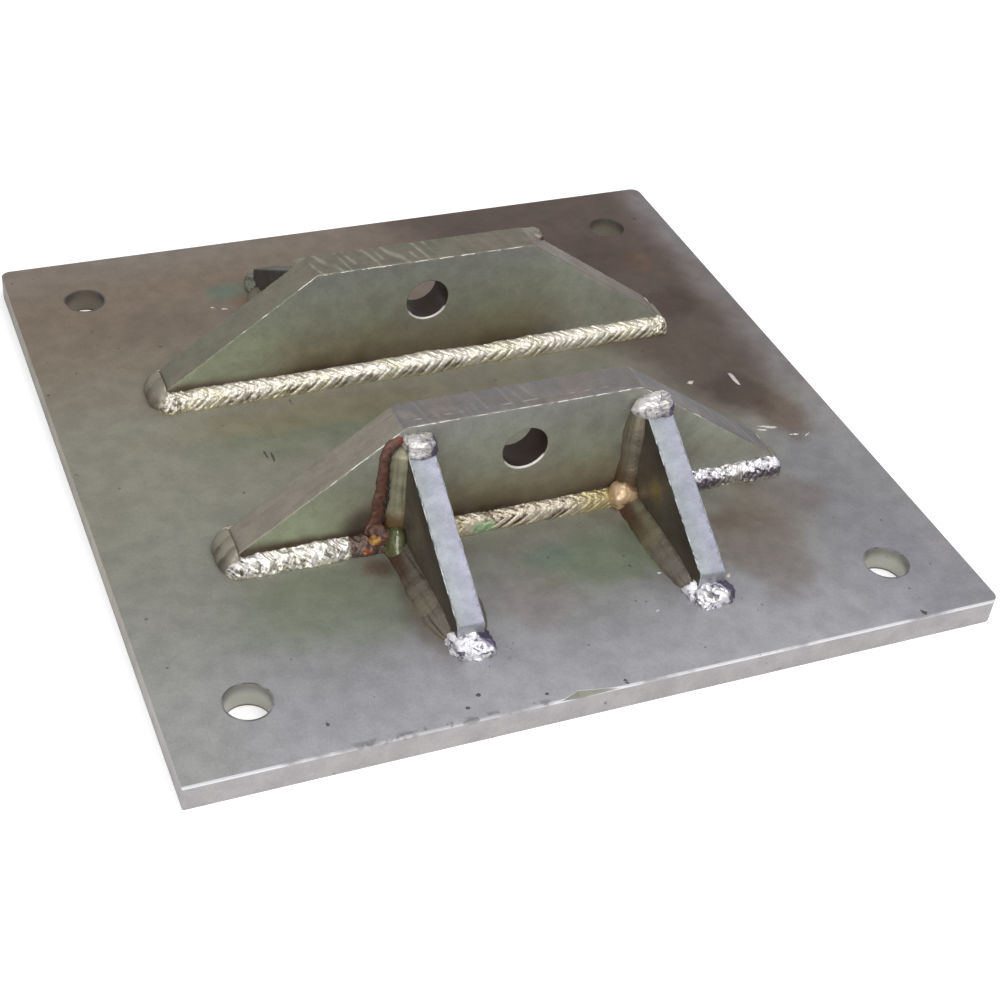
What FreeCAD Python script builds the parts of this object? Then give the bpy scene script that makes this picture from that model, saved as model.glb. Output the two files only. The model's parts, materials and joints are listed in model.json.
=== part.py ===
import FreeCAD, Part
import math
import os

from FreeCAD import Vector

# Welded steel anchor plate: a thick square plate that bolts down at its corners, with two
# upright lugs for a cross pin and a sloping gusset on each side of each lug's outer face.
# Millimetres. The origin is the middle of the plate's underside. X runs along the lugs,
# Y from the front edge to the back edge, and Z up.

# Base plate
plate_length = 300.0
plate_width = 300.0
plate_thickness = 10.0
plate_corner_radius = 4.0
sharp_corner_radius = 0.6
bolt_spacing_x = 241.0
bolt_spacing_y = 241.0
bolt_hole_diameter = 16.0

# Torch slip at the front edge of the plate
slip_start_x = -23.4
slip_deepest_x = -15.5
slip_end_x = 1.3
slip_reach = 3.0
slip_drop = 0.8

# Lugs
lug_thickness = 14.0
lug_height = 50.0
lug_end_height = 7.0
lug_foot_length = 212.0
lug_top_length = 90.0
lug_top_shift = -1.2
lug_gap = 85.0
lug_pair_shift = -1.8
pin_hole_diameter = 17.0
pin_hole_height = 31.3

# Gussets
gusset_thickness = 10.0
gusset_height = 44.0
gusset_reach = 58.5
gusset_toe_height = 9.0
front_left_gusset_x = -42.0
front_right_gusset_x = 49.5
rear_left_gusset_x = -45.0
rear_right_gusset_x = 49.5

# Weld runs
weld_leg = 5.5
weld_crown = 0.24
ripple_pitch = 4.6
ripple_depth = 0.16
ripple_lead = 0.7
tip_scale = 0.5
corner_pool_size = 7.2
corner_pool_swell = 1.12
right_upright_height = 33.0
toe_weld_rise = 4.0
toe_weld_reach = 8.0
toe_weld_overhang = 3.0
cap_weld_rise = 3.0
cap_weld_reach = 7.2
cap_weld_overhang = 0.5

# What stays free beside a weld, so that two runs never share metal
weld_clearance = 0.4

UP = Vector(0, 0, 1)
RIGHT = Vector(1, 0, 0)


def is_front_left(corner):
    """Whether an upright edge is the front left corner, which was left nearly sharp."""
    return corner.Vertexes[0].X < 0 and corner.Vertexes[0].Y < 0


def base_plate():
    """Flat plate with rounded corners, four bolt holes and the torch slip in its front edge."""
    plate = Part.makeBox(
        plate_length, plate_width, plate_thickness,
        Vector(-plate_length / 2, -plate_width / 2, 0))
    for sharp, radius in ((False, plate_corner_radius), (True, sharp_corner_radius)):
        upright = [edge for edge in plate.Edges if abs(edge.tangentAt(edge.FirstParameter).z) > 0.9]
        plate = plate.makeFillet(radius, [edge for edge in upright if is_front_left(edge) == sharp])
    for side_x in (-1, 1):
        for side_y in (-1, 1):
            centre = Vector(side_x * bolt_spacing_x / 2, side_y * bolt_spacing_y / 2, 0)
            plate = plate.cut(Part.makeCylinder(bolt_hole_diameter / 2, plate_thickness, centre))
    return plate.cut(torch_slip())


def torch_slip():
    """Shallow scoop where the cutting torch wandered into the top of the front edge."""
    front = -plate_width / 2
    start = Vector(slip_start_x, front, plate_thickness)
    deepest = Vector(slip_deepest_x, front + slip_reach, plate_thickness)
    end = Vector(slip_end_x, front, plate_thickness)
    foot = Vector(slip_deepest_x, front, plate_thickness - slip_drop)
    faces = [
        [start, deepest, end],
        [start, deepest, foot],
        [deepest, end, foot],
        [start, end, foot]]
    return solid_from_faces(faces)


def solid_from_faces(faces):
    """Closed solid from the flat faces that bound it."""
    sheets = [Part.Face(Part.makePolygon(points + points[:1])) for points in faces]
    solid = Part.makeSolid(Part.makeShell(sheets))
    if solid.Volume < 0:
        solid.reverse()
    return solid


def outer_face_y(side):
    """Y of a lug's outer face, for the front lug (side -1) or the rear lug (side 1)."""
    return lug_pair_shift + side * (lug_gap / 2 + lug_thickness)


def inner_face_y(side):
    """Y of a lug's inner face, which looks at the other lug."""
    return lug_pair_shift + side * lug_gap / 2


def lug(side):
    """Low trapezoid with short upright ends, drilled for the pin."""
    foot = lug_foot_length / 2
    top = lug_top_length / 2
    floor = plate_thickness
    outline = [
        (-foot, floor), (foot, floor),
        (foot, floor + lug_end_height),
        (lug_top_shift + top, floor + lug_height),
        (lug_top_shift - top, floor + lug_height),
        (-foot, floor + lug_end_height)]
    near_y = min(inner_face_y(side), outer_face_y(side))
    points = [Vector(x, near_y, z) for x, z in outline]
    blank = Part.Face(Part.makePolygon(points + points[:1])).extrude(Vector(0, lug_thickness, 0))
    hole = Part.makeCylinder(
        pin_hole_diameter / 2, lug_thickness,
        Vector(0, near_y, floor + pin_hole_height), Vector(0, 1, 0))
    return blank.cut(hole)


def gusset(side, centre_x):
    """Stiffener with a sloping outer edge and a short upright toe."""
    face_y = outer_face_y(side)
    floor = plate_thickness
    toe_y = face_y + side * gusset_reach
    outline = [
        (face_y, floor), (toe_y, floor),
        (toe_y, floor + gusset_toe_height),
        (face_y, floor + gusset_height)]
    left_x = centre_x - gusset_thickness / 2
    points = [Vector(left_x, y, z) for y, z in outline]
    return Part.Face(Part.makePolygon(points + points[:1])).extrude(RIGHT * gusset_thickness)


def ripple_stations(length, open_start, open_end):
    """Distances along a run with the size of its section there.

    The run is a row of overlapping scales: each one starts low, swells to its crest and
    ends where the next one starts low again. A free end shrinks to a small blunt tip.
    """
    count = max(2, round(length / ripple_pitch))
    pitch = length / count
    stations = []
    for index in range(count):
        stations.append((index * pitch, 1 - ripple_depth))
        stations.append(((index + ripple_lead) * pitch, 1.0))
    stations.append((length, 1 - ripple_depth))
    if open_start:
        stations[0] = (0.0, tip_scale)
    if open_end:
        stations[-1] = (length, tip_scale)
    return stations


def weld_section(root, rise, reach, size):
    """Crowned fillet outline in the corner at root: two legs joined by a swollen face.

    rise and reach are the full legs as vectors along the two walls.
    """
    swell = size * (0.5 + weld_crown)
    return [
        root,
        root + rise * size,
        root + rise * swell + reach * (size / 2),
        root + rise * (size / 2) + reach * swell,
        root + reach * size]


def weld_run(start, along, length, rise, reach, open_start=False, open_end=False):
    """Rippled fillet bead from start, laid in the corner between the rise and reach walls.

    Flat facets join each section to the next, and one flat face lies on each wall.
    """
    sections = [
        weld_section(start + along * distance, rise, reach, size)
        for distance, size in ripple_stations(length, open_start, open_end)]
    first, last = sections[0], sections[-1]
    faces = [first, last]
    for edge in (1, 4):
        faces.append([first[0], last[0]] + [section[edge] for section in reversed(sections)])
    for before, after in zip(sections, sections[1:]):
        for edge in (1, 2, 3):
            faces.append([before[edge], after[edge], after[edge + 1], before[edge + 1]])
    return solid_from_faces(faces)


def full_leg(wall):
    """Leg of a fillet, kept inside the height of the wall that it climbs."""
    return min(weld_leg, wall - weld_clearance)


def pool_offset():
    """Distance from an inner corner at which a run meets the pool of weld metal there."""
    return max(corner_pool_size, weld_leg * (1 + weld_crown))


def corner_pool(corner, away_x, away_y):
    """Pool of weld metal where three runs meet in an inner corner.

    Its three flat ends have the outline of a run, so each run starts against one of them.
    Between the ends it has one sloping face along each wall and a low peak in the middle.
    """
    reach = pool_offset()
    high = weld_leg * (0.5 + weld_crown)
    low = weld_leg / 2
    peak = (reach + high + low) / 3 * corner_pool_swell

    def place(x, y, z):
        return corner + Vector(x * away_x, y * away_y, z)

    def turned(points, turns):
        """The same points with their axes moved round by one or two places."""
        return [place(*(point[turns:] + point[:turns])) for point in points]

    end = [(reach, 0, 0), (reach, 0, weld_leg), (reach, low, high), (reach, high, low),
           (reach, weld_leg, 0)]
    floor = [(0, 0, 0), (reach, 0, 0), (reach, weld_leg, 0), (weld_leg, reach, 0), (0, reach, 0)]
    bank = [(reach, weld_leg, 0), (reach, high, low), (high, reach, low), (weld_leg, reach, 0)]
    faces = []
    for turns in range(3):
        faces += [turned(end, turns), turned(floor, turns), turned(bank, turns)]
    rim = [(reach, low, high), (reach, high, low), (high, reach, low), (low, reach, high),
           (low, high, reach), (high, low, reach)]
    for first, second in zip(rim, rim[1:] + rim[:1]):
        faces.append([place(*first), place(*second), place(peak, peak, peak)])
    return solid_from_faces(faces)


def lug_inside_run(side):
    """Long bead along the foot of a lug's inner face."""
    start = Vector(-lug_foot_length / 2, inner_face_y(side), plate_thickness)
    return weld_run(
        start, RIGHT, lug_foot_length, UP * full_leg(lug_end_height),
        Vector(0, -side * weld_leg, 0))


def lug_outside_runs(side, left_gusset_x, right_gusset_x):
    """Beads along the foot of a lug's outer face, broken by its two gussets."""
    half = gusset_thickness / 2 + pool_offset()
    foot = lug_foot_length / 2
    spans = {
        "outside_left": (-foot, left_gusset_x - half),
        "outside_middle": (left_gusset_x + half, right_gusset_x - half),
        "outside_right": (right_gusset_x + half, foot)}
    runs = {}
    for name, (start_x, end_x) in spans.items():
        start = Vector(start_x, outer_face_y(side), plate_thickness)
        runs[name] = weld_run(
            start, RIGHT, end_x - start_x, UP * full_leg(lug_end_height),
            Vector(0, side * weld_leg, 0))
    return runs


def lug_end_run(side, end):
    """Short bead round a lug's end, for its left end (end -1) or right end (end 1)."""
    near_y = min(inner_face_y(side), outer_face_y(side)) - weld_leg
    start = Vector(end * lug_foot_length / 2, near_y, plate_thickness)
    return weld_run(
        start, Vector(0, 1, 0), lug_thickness + 2 * weld_leg,
        UP * full_leg(lug_end_height), RIGHT * (end * weld_leg), True, True)


def gusset_side_runs(side, centre_x, hand):
    """Foot bead, upright bead and corner pool on one side of a gusset (hand -1 left, 1 right)."""
    face_x = centre_x + hand * gusset_thickness / 2
    corner = Vector(face_x, outer_face_y(side), plate_thickness)
    outward = Vector(0, side, 0)
    sideways = Vector(hand, 0, 0)
    gap = pool_offset()
    slope = (gusset_height - gusset_toe_height) / gusset_reach
    upright_end = gusset_height - weld_leg * slope - weld_clearance
    if hand > 0:
        upright_end = min(upright_end, right_upright_height)
    foot = weld_run(
        corner + outward * gap, outward, gusset_reach - gap,
        UP * full_leg(gusset_toe_height), sideways * weld_leg, open_end=True)
    upright = weld_run(
        corner + UP * gap, UP, upright_end - gap,
        outward * weld_leg, sideways * weld_leg, open_end=True)
    return {"foot": foot, "upright": upright, "corner": corner_pool(corner, hand, side)}


def toe_run(side, centre_x):
    """Bead across a gusset's toe, a little wider than the toe."""
    width = gusset_thickness + 2 * toe_weld_overhang
    toe_y = outer_face_y(side) + side * gusset_reach
    start = Vector(centre_x - width / 2, toe_y, plate_thickness)
    return weld_run(
        start, RIGHT, width, UP * min(toe_weld_rise, full_leg(gusset_toe_height)),
        Vector(0, side * toe_weld_reach, 0), True, True)


def cap_run(side, centre_x):
    """Bead across the top of a gusset, where its sloping edge meets the lug."""
    width = gusset_thickness + 2 * cap_weld_overhang
    fall = gusset_height - gusset_toe_height
    slope_length = math.hypot(gusset_reach, fall)
    down_slope = Vector(0, side * gusset_reach / slope_length, -fall / slope_length)
    rise = min(cap_weld_rise, lug_height - gusset_height - weld_clearance)
    start = Vector(centre_x - width / 2, outer_face_y(side), plate_thickness + gusset_height)
    return weld_run(start, RIGHT, width, UP * rise, down_slope * cap_weld_reach, True, True)


def all_pieces():
    """Every piece of the bracket by name."""
    pieces = {"base_plate": base_plate()}
    gusset_places = {
        "front": (-1, front_left_gusset_x, front_right_gusset_x),
        "rear": (1, rear_left_gusset_x, rear_right_gusset_x)}
    for row, (side, left_x, right_x) in gusset_places.items():
        pieces[row + "_lug"] = lug(side)
        pieces["weld_" + row + "_lug_inside"] = lug_inside_run(side)
        for name, run in lug_outside_runs(side, left_x, right_x).items():
            pieces["weld_" + row + "_lug_" + name] = run
        for end, hand in (("left", -1), ("right", 1)):
            pieces["weld_" + row + "_lug_end_" + end] = lug_end_run(side, hand)
        for place, centre_x in (("left", left_x), ("right", right_x)):
            stem = "gusset_" + row + "_" + place
            pieces[stem] = gusset(side, centre_x)
            for end, hand in (("left", -1), ("right", 1)):
                for name, run in gusset_side_runs(side, centre_x, hand).items():
                    pieces["weld_" + stem + "_" + name + "_" + end] = run
            pieces["weld_" + stem + "_toe"] = toe_run(side, centre_x)
            pieces["weld_" + stem + "_cap"] = cap_run(side, centre_x)
    return pieces


os.makedirs("parts", exist_ok=True)
for node, shape in all_pieces().items():
    shape.exportStep("parts/" + node + ".step")
    print(node, "valid", shape.isValid(), "volume", round(shape.Volume, 1))
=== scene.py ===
import json
import bmesh
import bpy
import numpy as np
from mathutils import Matrix, Vector

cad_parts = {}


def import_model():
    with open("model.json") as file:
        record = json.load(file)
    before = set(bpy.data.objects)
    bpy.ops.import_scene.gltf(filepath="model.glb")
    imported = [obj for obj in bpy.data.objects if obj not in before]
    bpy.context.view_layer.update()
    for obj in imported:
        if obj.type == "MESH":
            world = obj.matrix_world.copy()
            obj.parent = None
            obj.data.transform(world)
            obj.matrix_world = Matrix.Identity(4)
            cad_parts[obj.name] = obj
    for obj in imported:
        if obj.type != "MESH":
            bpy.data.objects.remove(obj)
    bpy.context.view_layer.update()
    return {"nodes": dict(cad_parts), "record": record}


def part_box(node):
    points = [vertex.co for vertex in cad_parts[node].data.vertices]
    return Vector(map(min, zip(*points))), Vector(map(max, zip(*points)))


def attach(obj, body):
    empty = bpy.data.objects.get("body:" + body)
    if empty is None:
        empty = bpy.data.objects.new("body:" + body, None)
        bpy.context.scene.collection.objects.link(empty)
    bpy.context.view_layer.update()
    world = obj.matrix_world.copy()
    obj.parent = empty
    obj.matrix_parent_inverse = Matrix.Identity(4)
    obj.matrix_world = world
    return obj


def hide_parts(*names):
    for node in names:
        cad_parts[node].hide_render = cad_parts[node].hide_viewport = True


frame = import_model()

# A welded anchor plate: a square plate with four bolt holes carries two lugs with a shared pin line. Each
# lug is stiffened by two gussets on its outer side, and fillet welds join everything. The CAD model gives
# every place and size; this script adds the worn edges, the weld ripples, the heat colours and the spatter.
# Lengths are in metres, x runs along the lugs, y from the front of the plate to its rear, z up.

MM = 0.001
FRONT, REAR = np.array((0, -1, 0)), np.array((0, 1, 0))
LEFT, RIGHT = np.array((-1, 0, 0)), np.array((1, 0, 0))
UP = np.array((0, 0, 1))

PLATE_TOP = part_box("base_plate")[1][2]
PLATE_HALF = 150 * MM
PIN = next(mount for mount in frame["record"]["mounts"] if mount["name"] == "lug_pin")
PIN_PLACE, PIN_RADIUS = PIN["pos_m"], PIN["dims"]["r_mm"] * MM
BOLT_SPREAD, BOLT_RADIUS = 120.5 * MM, 8 * MM

# The lugs' middle in y, how far their outer faces lie from it, and the gussets' top and fall per metre out
LUG_MIDDLE = (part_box("front_lug")[0][1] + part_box("rear_lug")[1][1]) / 2
LUG_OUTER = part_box("rear_lug")[1][1] - LUG_MIDDLE
GUSSET_TOP, GUSSET_FALL = float(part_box("gusset_front_left")[1][2]), 35 / 58.5


# Meshes

def shown(name, data):
    """An object at the origin that shows a mesh, a lamp or a camera."""
    thing = bpy.data.objects.new(name, data)
    bpy.context.scene.collection.objects.link(thing)
    return thing


def solid(name, points, faces):
    """A smooth-shaded object from an array of points and a list of faces."""
    mesh = bpy.data.meshes.new(name)
    mesh.from_pydata(points.tolist(), [], faces)
    mesh.polygons.foreach_set("use_smooth", np.ones(len(mesh.polygons), bool))
    mesh.update()
    return shown(name, mesh)


def grid_faces(rows, columns, wrap=False):
    """Quads and triangles over a grid, as numbers of its points. The columns run round and join up. With
    wrap the last row joins the first, as on a ring; without it each end row is drawn together into a pole,
    and the two poles are numbered after the grid's points."""
    index = np.arange(rows * columns).reshape(rows, columns)
    here, there = (index, np.roll(index, -1, 0)) if wrap else (index[:-1], index[1:])
    quads = np.stack((here, np.roll(here, -1, 1), np.roll(there, -1, 1), there), -1).reshape(-1, 4)
    if wrap:
        return quads, np.empty((0, 3), int)
    first, last = index[0], index[-1]
    start = np.stack((np.full(columns, rows * columns), np.roll(first, -1), first), -1)
    end = np.stack((np.full(columns, rows * columns + 1), last, np.roll(last, -1)), -1)
    return quads, np.vstack((start, end))


def skin(name, points, wrap=False, **layers):
    """A closed mesh over a grid of points of shape (rows, columns, 3). Each layer is a grid of values that
    the finishes read as an attribute. Faces are turned outwards by the sign of the enclosed volume."""
    rows, columns = points.shape[:2]
    quads, triangles = grid_faces(rows, columns, wrap)
    places = points.reshape(-1, 3)
    values = {key: np.broadcast_to(grid, (rows, columns)).reshape(-1) for key, grid in layers.items()}
    if not wrap:
        places = np.vstack((places, points[0].mean(0), points[-1].mean(0)))
        for key, flat in values.items():
            values[key] = np.append(flat, (flat[:columns].mean(), flat[-columns:].mean()))
    halves = np.vstack((quads[:, :3], quads[:, [0, 2, 3]], triangles))
    a, b, c = (places[halves[:, i]] for i in range(3))
    if np.einsum("ij,ij->i", a, np.cross(b, c)).sum() < 0:
        quads, triangles = quads[:, ::-1], triangles[:, ::-1]
    piece = solid(name, places, quads.tolist() + triangles.tolist())
    for key, flat in values.items():
        piece.data.attributes.new(key, "FLOAT", "POINT").data.foreach_set("value", flat.astype(np.float32))
    return piece


def dress(piece, finish, slot, *nodes):
    """The piece gets its finish, rides on the one body and stands for its CAD nodes."""
    piece.data.materials.clear()
    piece.data.materials.append(finish)
    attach(piece, "root")
    if nodes:
        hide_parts(*nodes)


def ease(value, low, high):
    """0 below low, 1 above high, and a smooth step between them."""
    t = np.clip((value - low) / (high - low), 0, 1)
    return t * t * (3 - 2 * t)


def random_ways(rng, count):
    """Unit vectors in random directions."""
    ways = rng.normal(size=(count, 3))
    return ways / np.linalg.norm(ways, axis=1, keepdims=True)


def all_ways(rows, columns):
    """Unit vectors in all directions but the poles, on a grid of angles from the top by angles round."""
    polar = np.linspace(0, np.pi, rows + 2)[1:-1, None]
    azimuth = np.linspace(0, 2 * np.pi, columns, endpoint=False)[None, :]
    flat = np.sin(polar)
    return np.stack(np.broadcast_arrays(flat * np.cos(azimuth), flat * np.sin(azimuth), np.cos(polar)), -1)


def waves(points, size, seed, count=14):
    """Smooth random values, about -1 to 1, at an array of points: the mean of plane waves with random
    directions and phases, each between two thirds and one and a half times the given size long."""
    rng = np.random.default_rng(seed)
    directions = random_ways(rng, count)
    lengths = size * rng.uniform(0.67, 1.5, count)
    phases = rng.uniform(0, 2 * np.pi, count)
    total = np.zeros(points.shape[:-1])
    for direction, length, phase in zip(directions, lengths, phases):
        total += np.sin(points @ direction * (2 * np.pi / length) + phase)
    return total * (1.4 / np.sqrt(count))


def folds(points, size, seed):
    """Crumpled foil, from 0 to 1: thin creases where either of two wave fields crosses zero, the second
    half the size of the first, and flattened bulges between them."""
    coarse, fine = (np.clip(np.abs(waves(points, size / part, seed + part - 1)), 0, 1) ** 0.7
                    for part in (1, 2))
    return 0.65 * coarse + 0.35 * fine


CREASE = 0.2 * MM


def facets(points, size, seed, count=7):
    """Crumpled foil: a sum of zigzag waves along random directions, so that the surface is flat between
    straight creases. Returns the height, about -1 to 1, and a look from 0 to 1 of painted light and shade:
    facets lighter or darker by the way they face, with painted shade as thin dark lines in some of the
    creases."""
    rng = np.random.default_rng(seed)
    directions = random_ways(rng, count)
    lengths, shifts = size * rng.uniform(0.7, 1.6, count), rng.uniform(0, 1, count)
    weights = rng.uniform(0.6, 1.4, count)
    bend = 0.20 * waves(points, 2.5 * size, seed + 1)
    height, tone, crease = (np.zeros(points.shape[:-1]) for _ in range(3))
    for direction, length, shift, weight in zip(directions, lengths, shifts, weights):
        phase = (points @ direction / length + shift + bend) % 1
        height += 1 - 4 * np.abs(phase - 0.5)
        # Painted light and shade: each facet lighter or darker by which way its slope faces
        tone += weight * np.where(phase < 0.5, 1, -1)
        # Painted shade in the creases
        crease = np.maximum(crease, weight * np.exp(-np.minimum(phase, 1 - phase) * length / CREASE))
    crease = crease * ease(waves(points, 1.6 * size, seed + 2), -0.35, 0.35)
    bright = ease(0.5 + tone / (4 * np.sqrt(count)), 0.15, 0.6)
    return height / np.sqrt(count), 0.2 + 0.7 * bright - 0.7 * crease


def crumpled(points, size, seed, share):
    """The facets of two sizes: the large ones' height, the small ones', and a mix of the two looks, in
    which the large ones have the given share."""
    height, look = facets(points, size, seed + 10)
    small_height, small_look = facets(points, 0.45 * size, seed + 20)
    return height, small_height, share * look + (1 - share) * small_look


# Cut plates: lugs and gussets

CORNER_HARDNESS = 150
CUT_STEP = 0.45 * MM
ARRIS = 0.45 * MM
BORE_LIP = 0.5 * MM
BORE_RINGS, HUB_RINGS = np.array((0, 0.012, 0.2, 0.45, 0.75)), np.array((0.3, 0.65))


def outline_radius(corners, centre, angles, inset):
    """Distance from centre to a convex outline, moved inwards by inset, in the direction of each angle.
    Each edge is reached at its distance over the cosine to it; a soft minimum rounds the corners."""
    along = np.roll(corners, -1, 0) - corners
    normals = np.stack((along[:, 1], -along[:, 0]), -1)
    normals /= np.linalg.norm(normals, axis=1, keepdims=True)
    reach = np.einsum("ij,ij->i", corners - centre, normals)
    facing = (normals * np.sign(reach)[:, None]) @ np.stack((np.cos(angles), np.sin(angles)))
    total = 0
    for edge_reach, edge_facing in zip(np.abs(reach), facing):
        total = total + (np.maximum(edge_facing, 0.001) / (edge_reach - inset)) ** CORNER_HARDNESS
    return total ** (-1 / CORNER_HARDNESS)


def even_angles(corners, centre, step):
    """Angles round the centre whose points on the outline are about step apart, and their places on it."""
    fine = np.linspace(0, 2 * np.pi, 6000)
    radius = outline_radius(corners, centre, fine, 0)
    outline = np.stack((radius * np.cos(fine), radius * np.sin(fine)), -1)
    length = np.append(0, np.cumsum(np.linalg.norm(np.diff(outline, axis=0), axis=1)))
    places = np.linspace(0, length[-1], int(length[-1] / step), endpoint=False)
    return np.interp(places, length, fine), places


def cut_section(thick):
    """The rim of a cut plate's section: just inside one face, round the arris, across the cut edge
    and back over the other face. Returns how far each point lies inside the outline, and how far
    across the thickness."""
    quarter = np.linspace(0, np.pi / 2, 5)
    round_in, round_across = ARRIS * (1 - np.sin(quarter)), ARRIS * (1 - np.cos(quarter))
    face = np.array((2.4, 1.1)) * MM
    middle = np.linspace(ARRIS, thick - ARRIS, 26)[1:-1]
    inset = np.concatenate((face, round_in, 0 * middle, round_in[::-1], face[::-1]))
    return inset, np.concatenate((0 * face, round_across, middle, thick - round_across[::-1],
                                  0 * face + thick))


def cut_plate(name, corners, centre, bore, faces, axes, stroke, seed, stroke_zone, bright_zone, line=None):
    """A flat piece cut from plate: a grid of angles round the centre by steps across its section. The
    section goes from the centre, or the bore's wall, out over one face, round the arris, across the cut
    edge and back over the other face. The cut edge carries drag strokes, slanted saw waves; the arris is
    nicked. faces are the two faces' places on the third axis, axes the numbers of the outline's two axes
    and that one. stroke holds the strokes' spacing, slant and depth. The arris layer is a painted highlight
    round the arris and on its nicks. The zones give from 0 to 1, for places on the outline, where strokes
    and the painted arris highlight show; line is the distance of a second painted highlight line from the
    first arris."""
    thick = faces[1] - faces[0]
    spacing, slant, depth = stroke
    angles, arc = even_angles(corners, centre, CUT_STEP)
    inset, across = cut_section(thick)
    outline = outline_radius(corners, centre, angles, 0)
    first, second = centre[0] + outline * np.cos(angles), centre[1] + outline * np.sin(angles)
    rim = ease(ARRIS - inset, -0.2 * ARRIS, 0.9 * ARRIS)[:, None]
    spot = np.stack(np.broadcast_arrays(arc[None, :], across[:, None], 0), -1)
    saw = (arc + slant * across[:, None]) / spacing + 0.35 * waves(spot * (1, 0.05, 1), 11 * MM, seed + 2)
    drag = ease(np.abs(2 * (saw % 1) - 1), 0.5, 0.95) * ease(waves(spot, 12 * MM, seed + 6), -1.2, 0.1) \
        * stroke_zone(first, second)
    tick = ease(waves(spot * (1, 0.35, 1), 2.6 * MM, seed + 3), 0.35, 0.8)
    nick = tick * np.exp(-np.minimum(across, thick - across)[:, None] / (0.7 * MM)) * rim
    # Painted highlight: a band round the arris, a second line where line is given, and the nicks below
    arris = np.exp(-((inset / ARRIS - 0.5) / 0.30) ** 2)[:, None] \
        * (0.75 + 0.35 * waves(spot, 6 * MM, seed + 4))
    if line:
        painted_highlight = np.exp(-((across - line) / (0.35 * MM)) ** 2)[:, None] \
            * (0.5 + 0.15 * waves(spot, 5 * MM, seed))
        arris = arris + painted_highlight * ease(second, second.max() - 0.6 * MM, second.max() - 0.2 * MM) * rim
    radius = outline_radius(corners, centre, angles, inset[:, None] + rim * drag * depth + 0.25 * MM * nick)
    layers = {"rim": rim, "arris": np.clip((arris + 0.7 * nick ** 2) * bright_zone(first, second), 0, 1),
              "drag": drag * rim, "side": (across / thick)[:, None]}
    mouth, rings, wall = 0, HUB_RINGS, np.empty(0)
    if bore:
        mouth, rings = bore + BORE_LIP, BORE_RINGS
        lip = np.array((0.5, 0.8)) * MM
        wall = np.concatenate((lip, np.linspace(2 * MM, thick - 2 * MM, 4), thick - lip[::-1]))
    face = mouth + (radius[0] - mouth) * rings[:, None]
    tube = np.full((len(wall), len(angles)), float(bore))
    radius = np.vstack((face, radius, face[::-1], tube))
    across = np.concatenate((0 * rings, across, 0 * rings + thick, wall[::-1]))
    layers = {key: np.vstack((0 * face, grid * np.ones_like(angles), 0 * face, 0 * tube))
              for key, grid in layers.items()}
    if bore:
        layers["bore"] = (np.arange(len(radius)) >= len(radius) - len(wall))[:, None]
        # Painted highlight: a bright crescent on the lower half of the bore's mouth
        layers["arris"][[0, -1]] = ease(-np.sin(angles), 0.25, 0.7)
    points = np.empty(radius.shape + (3,))
    points[..., axes[0]] = centre[0] + radius * np.cos(angles)
    points[..., axes[1]] = centre[1] + radius * np.sin(angles)
    points[..., axes[2]] = faces[0] + across[:, None]
    return skin(name, points, wrap=bool(bore), **layers)


def node_points(node):
    """The corner points of a CAD node, as an array."""
    mesh = frame["nodes"][node].data
    points = np.empty(len(mesh.vertices) * 3)
    mesh.vertices.foreach_get("co", points)
    return points.reshape(-1, 3)


def lug(side, finish, seed):
    """A lug. Its outline in x and z is read from the node: the foot, the low end faces and
    the short top."""
    low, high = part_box(side + "_lug")
    points = node_points(side + "_lug")
    top = points[points[:, 2] > high[2] - MM][:, 0]
    top_left, top_right = top.min(), top.max()
    end_top = points[np.abs(points[:, 0] - low[0]) < MM][:, 2].max()
    corners = np.array(((low[0], low[2]), (low[0], end_top), (top_left, high[2]), (top_right, high[2]),
                        (high[0], end_top), (high[0], low[2])))
    strong, faded = (1.0, 0.0) if side == "rear" else (0.25, 0.35)

    def stroke_zone(x, z):
        level_top = ease(z, high[2] - 0.6 * MM, high[2] - 0.2 * MM)
        right_slope = ease(x, top_right, top_right + 6 * MM)
        return strong * level_top * ease(x, 8 * MM, 0) + 0.12 * level_top + faded * right_slope

    # Where the painted arris highlight shows
    def bright_zone(x, z):
        if side == "front":
            return ease(x, -79 * MM, -70 * MM) * ease(x, 110 * MM, 60 * MM)
        patchy = 1 + waves(np.stack((x, 0 * x, z), -1)[None], 5 * MM, seed + 9)[0]
        left_slope = ease(x, top_left, top_left - 8 * MM)
        return ease(x, 46 * MM, 41 * MM) * (1 - 0.5 * left_slope * patchy) * ease(x, -92 * MM, -74 * MM)

    piece = cut_plate(side + "_lug_cut", corners, np.array((PIN_PLACE[0], PIN_PLACE[2])), PIN_RADIUS,
                      (low[1], high[1]), (0, 2, 1), (5.5 * MM, -0.36, 0.2 * MM), seed, stroke_zone,
                      bright_zone, line=3.4 * MM if side == "front" else None)
    dress(piece, finish, "lug_steel", side + "_lug")


def gusset(side, hand, finish, seed):
    """A gusset: the outline in y and z is its foot, the upright at the lug, the slope and the low toe."""
    node = "gusset_" + side + "_" + hand
    low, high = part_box(node)
    lug_y, toe_y = (high[1], low[1]) if side == "front" else (low[1], high[1])
    points = node_points(node)
    toe_top = points[np.abs(points[:, 1] - toe_y) < MM][:, 2].max()
    corners = np.array(((lug_y, low[2]), (lug_y, high[2]), (toe_y, toe_top), (toe_y, low[2])))

    def everywhere(y, z):
        return np.ones_like(y)

    piece = cut_plate(node + "_cut", corners, corners.mean(0), 0, (low[0], high[0]), (1, 2, 0),
                      (2.6 * MM, 0.3, 0.006 * MM), seed, everywhere, everywhere)
    dress(piece, finish, "gusset_steel", node)


# Welds

BEAD_STEP, BEAD_TURNS = 0.27 * MM, 27
# The back of a bead's section, closed inside the corner, as shares of its reach outwards and of its rise
BACK_OUT, BACK_UP = (0.8, -0.08, -0.08, -0.04), (-0.08, -0.08, 0.8, 0.95)


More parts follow.
